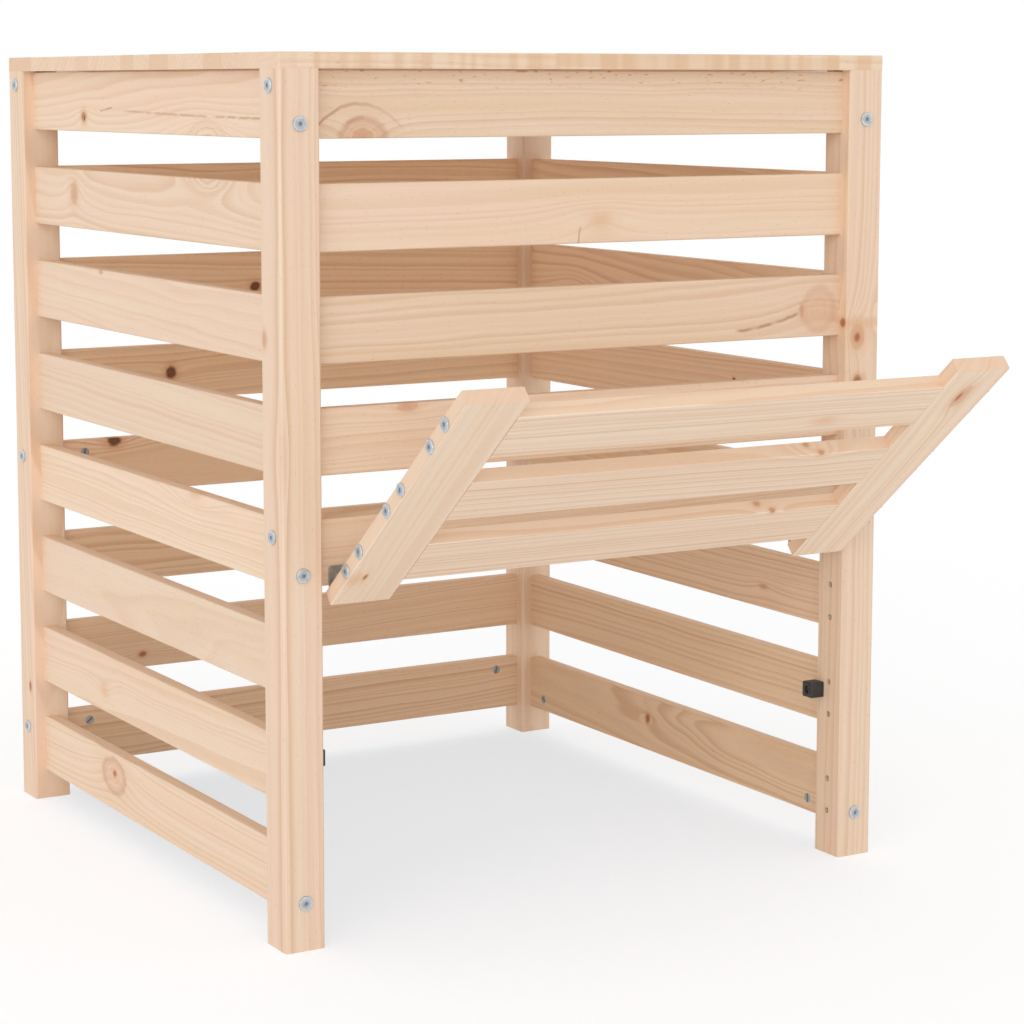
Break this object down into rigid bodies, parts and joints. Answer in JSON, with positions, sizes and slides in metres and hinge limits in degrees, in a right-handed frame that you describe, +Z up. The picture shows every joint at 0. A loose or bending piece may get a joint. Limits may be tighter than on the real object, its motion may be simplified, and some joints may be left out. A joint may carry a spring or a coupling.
{
  "type": "slatted compost bin",
  "caption": "Free-standing slatted pine compost bin on square posts, with a flat hinged lid on top and a hinged flap at the foot of the front wall for taking compost out.",
  "frame": {"origin": "on the ground, in the middle of the four posts' footprint", "axes": "+Z up, -Y to the front with the flap, +X to the right seen from the front"},
  "size_m": [0.639, 0.8795, 0.775],
  "materials": {
    "pine": "planed, unfinished",
    "zinc_steel": "zinc plated",
    "hinge_steel": "dull galvanised",
    "black_plastic": "moulded, matt"
  },
  "bodies": {
    "frame": {"barrel_nuts": "zinc_steel", "flap_hinge_pins": "hinge_steel", "flap_hinge_slat_leaf_left": "hinge_steel", "flap_hinge_slat_leaf_right": "hinge_steel", "flap_stop_left": "black_plastic", "flap_stop_right": "black_plastic", "frame_bolts": "zinc_steel", "front_left_post": "pine", "front_right_post": "pine", "front_slat_1": "pine", "front_slat_2": "pine", "front_slat_3": "pine", "front_slat_4": "pine", "front_slat_5": "pine", "left_slat_1": "pine", "left_slat_2": "pine", "left_slat_3": "pine", "left_slat_4": "pine", "left_slat_5": "pine", "left_slat_6": "pine", "left_slat_7": "pine", "left_slat_8": "pine", "lid_hinge_pins": "hinge_steel", "lid_hinge_post_leaf_left": "hinge_steel", "lid_hinge_post_leaf_right": "hinge_steel", "rear_left_post": "pine", "rear_right_post": "pine", "rear_slat_1": "pine", "rear_slat_2": "pine", "rear_slat_3": "pine", "rear_slat_4": "pine", "rear_slat_5": "pine", "rear_slat_6": "pine", "rear_slat_7": "pine", "rear_slat_8": "pine", "right_slat_1": "pine", "right_slat_2": "pine", "right_slat_3": "pine", "right_slat_4": "pine", "right_slat_5": "pine", "right_slat_6": "pine", "right_slat_7": "pine", "right_slat_8": "pine", "stop_screws": "zinc_steel"},
    "flap": {"flap_hinge_stile_leaf_left": "hinge_steel", "flap_hinge_stile_leaf_right": "hinge_steel", "flap_screws": "zinc_steel", "flap_slat_1": "pine", "flap_slat_2": "pine", "flap_slat_3": "pine", "flap_stile_left": "pine", "flap_stile_right": "pine"},
    "lid": {"lid": "pine", "lid_hinge_lid_leaf_left": "hinge_steel", "lid_hinge_lid_leaf_right": "hinge_steel"}
  },
  "joints": [
    {"name": "flap_hinge", "type": "hinge", "parent": "frame", "child": "flap", "pos_m": [0, -0.3085, 0.315], "axis": [-1, 0, 0], "range_deg": [-130, 45]},
    {"name": "lid_hinge", "type": "hinge", "parent": "frame", "child": "lid", "pos_m": [0, 0.3205, 0.761], "axis": [-1, 0, 0], "range_deg": [0, 105]}
  ]
}
